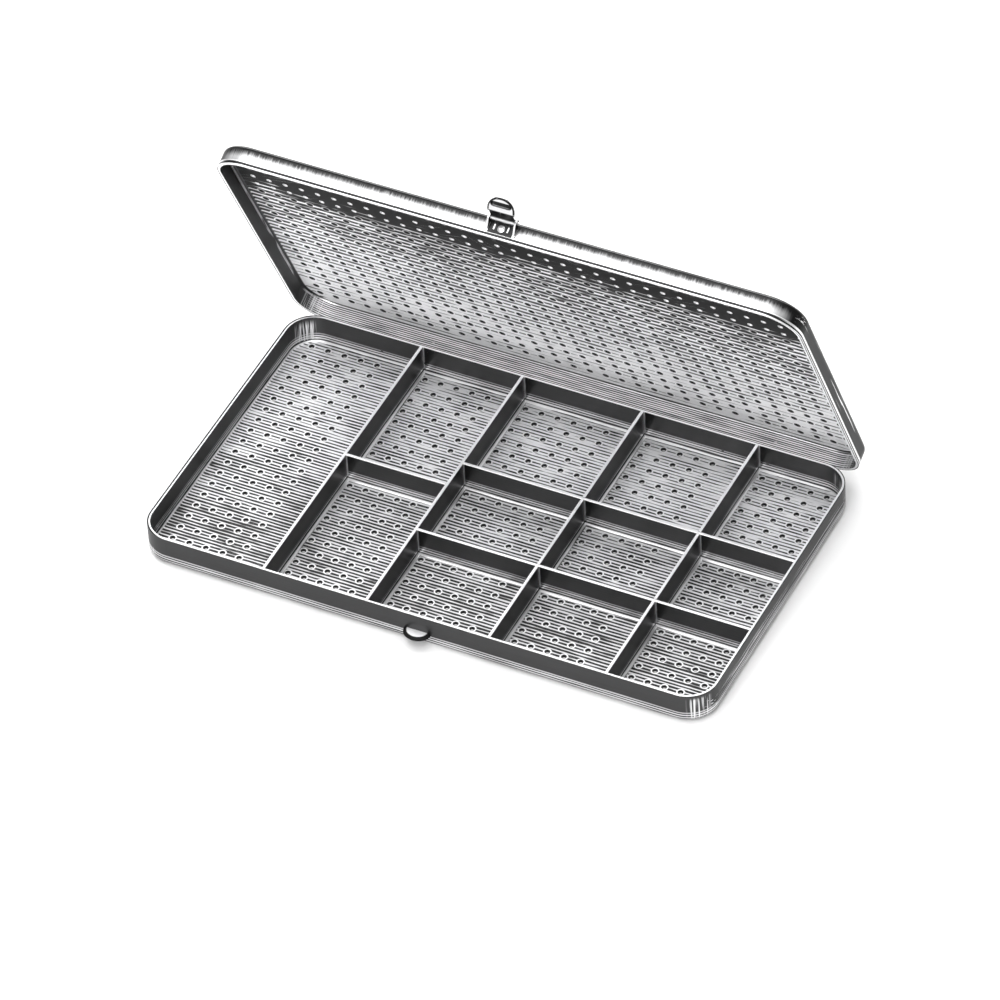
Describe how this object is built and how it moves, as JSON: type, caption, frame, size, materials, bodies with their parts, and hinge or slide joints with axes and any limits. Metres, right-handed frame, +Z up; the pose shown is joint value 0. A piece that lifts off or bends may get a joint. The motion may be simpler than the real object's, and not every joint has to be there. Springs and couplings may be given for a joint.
{
  "type": "sterilization container",
  "caption": "Shallow perforated steel instrument box: tray divided into open compartments, perforated slip-over hinged lid and a swing clasp whose cupped tab snaps over a lip.",
  "frame": {"origin": "centre of the tray's flat underside, on the surface it stands on", "axes": "+X along the box's length, the large compartment at -X; +Y to the back, where the hinges are, the clasp at -Y; +Z up; the lid is written standing open"},
  "size_m": [0.205, 0.1306, 0.1284],
  "materials": {
    "tray_steel": "satin, lightly brushed along the length",
    "lid_steel": "satin, lightly brushed along the length",
    "divider_steel": "satin strip, brushed along its length",
    "hinge_steel": "satin",
    "pin_steel": "drawn wire, bright",
    "rivet_steel": "bright heads",
    "fitting_steel": "bright, polished",
    "spring_steel": "rolled spring strip",
    "lever_steel": "bright, polished"
  },
  "bodies": {
    "base": {"base_tray": "tray_steel", "catch_lip": "fitting_steel", "divider_long_1": "divider_steel", "divider_long_2": "divider_steel", "divider_long_3": "divider_steel", "divider_long_4": "divider_steel", "divider_cross_left": "divider_steel", "divider_cross_rear": "divider_steel", "divider_cross_front": "divider_steel", "hinge_leaf_base_left": "hinge_steel", "hinge_leaf_base_right": "hinge_steel", "hinge_pin_left": "pin_steel", "hinge_pin_right": "pin_steel", "hinge_rivets_base": "rivet_steel"},
    "lid": {"lid_tray": "lid_steel", "hinge_leaf_lid_left": "hinge_steel", "hinge_leaf_lid_right": "hinge_steel", "hinge_rivets_lid": "rivet_steel", "clasp_bracket": "fitting_steel", "clasp_spring": "spring_steel", "clasp_rivet": "rivet_steel", "clasp_pin": "pin_steel"},
    "clasp": {"clasp_lever": "lever_steel"}
  },
  "joints": [
    {"name": "lid_hinge", "type": "hinge", "parent": "base", "child": "lid", "pos_m": [0, 0.0614, 0.0041], "axis": [-1, 0, 0], "range_deg": [-65, 60]},
    {"name": "clasp_hinge", "type": "hinge", "parent": "lid", "child": "clasp", "pos_m": [0, 0.01618, 0.11906], "axis": [-1, 0, 0], "range_deg": [-106, 65]}
  ]
}
